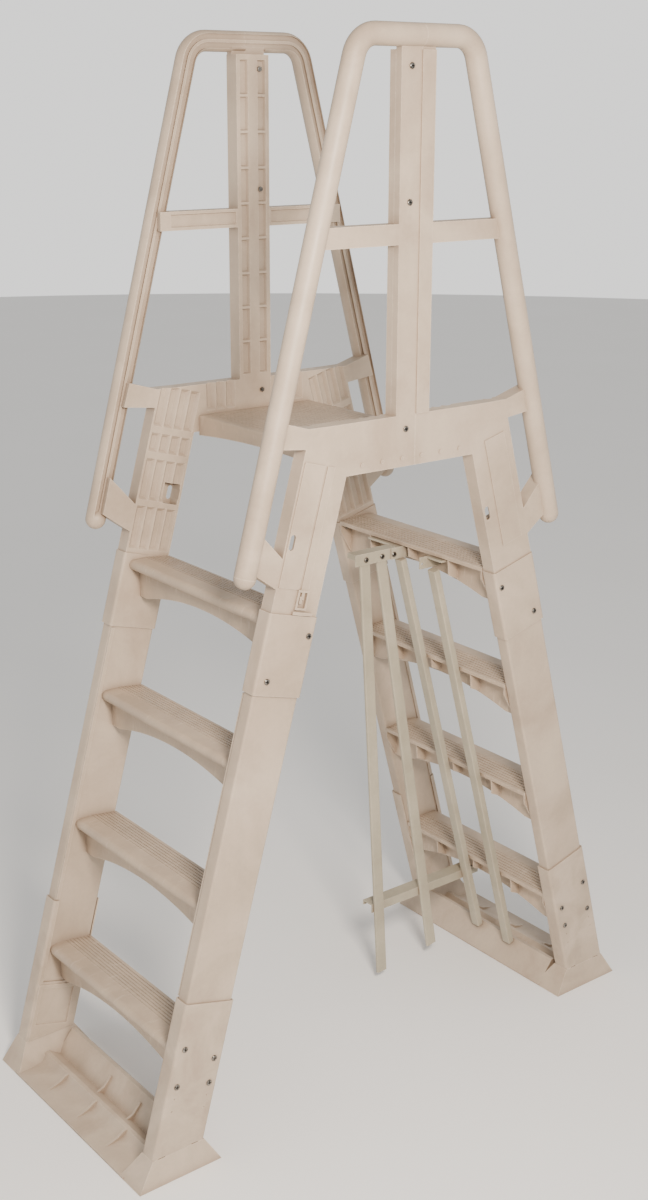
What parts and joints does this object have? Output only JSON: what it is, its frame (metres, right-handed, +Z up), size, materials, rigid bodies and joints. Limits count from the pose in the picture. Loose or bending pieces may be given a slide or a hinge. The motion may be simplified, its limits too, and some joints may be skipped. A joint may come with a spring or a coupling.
{
  "type": "pool ladder",
  "caption": "Free-standing A-frame ladder that straddles an above-ground pool wall, with platform, handrails, moulded steps, floor trays and a swim-through barrier.",
  "frame": {"origin": "centre of the footprint on the floor, below the middle of the platform", "axes": "+X from the outside ladder towards the pool ladder, +Y to the left when climbing in, +Z up"},
  "size_m": [1.332, 0.576, 2.148],
  "materials": {
    "taupe_plastic": "satin, fine moulded texture",
    "barrier_plastic": "satin",
    "stainless_steel": "polished"
  },
  "bodies": {
    "ladder": {"left_outside_frame": "taupe_plastic", "left_outside_stile": "taupe_plastic", "right_outside_frame": "taupe_plastic", "right_outside_stile": "taupe_plastic", "outside_step_1": "taupe_plastic", "outside_step_2": "taupe_plastic", "outside_step_3": "taupe_plastic", "outside_step_4": "taupe_plastic", "outside_collar_screws": "stainless_steel", "outside_step_screws": "stainless_steel", "left_pool_frame": "taupe_plastic", "left_pool_stile": "taupe_plastic", "right_pool_frame": "taupe_plastic", "right_pool_stile": "taupe_plastic", "pool_step_1": "taupe_plastic", "pool_step_2": "taupe_plastic", "pool_step_3": "taupe_plastic", "pool_step_4": "taupe_plastic", "pool_collar_screws": "stainless_steel", "pool_step_screws": "stainless_steel", "platform": "taupe_plastic", "platform_screws": "stainless_steel", "post_bolts": "stainless_steel", "post_nuts": "stainless_steel", "barrier_screws": "stainless_steel", "barrier_bar_1": "barrier_plastic", "barrier_bar_2": "barrier_plastic", "barrier_bar_3": "barrier_plastic", "barrier_bar_4": "barrier_plastic", "barrier_top_rail": "barrier_plastic", "barrier_bottom_rail": "barrier_plastic", "left_barrier_clip": "barrier_plastic", "right_barrier_clip": "barrier_plastic"},
    "outside_base": {"left_outside_leg_sleeve": "taupe_plastic", "right_outside_leg_sleeve": "taupe_plastic", "outside_base_tray": "taupe_plastic", "outside_sleeve_screws": "stainless_steel"},
    "pool_base": {"left_pool_leg_sleeve": "taupe_plastic", "right_pool_leg_sleeve": "taupe_plastic", "pool_base_tray": "taupe_plastic", "pool_sleeve_screws": "stainless_steel"}
  },
  "joints": [
    {"name": "outside_base_extension", "type": "slide", "parent": "ladder", "child": "outside_base", "axis": [-0.2656, 0, -0.9641], "range_m": [0, 0.0508]},
    {"name": "pool_base_extension", "type": "slide", "parent": "ladder", "child": "pool_base", "axis": [0.2656, 0, -0.9641], "range_m": [0, 0.0508]}
  ]
}
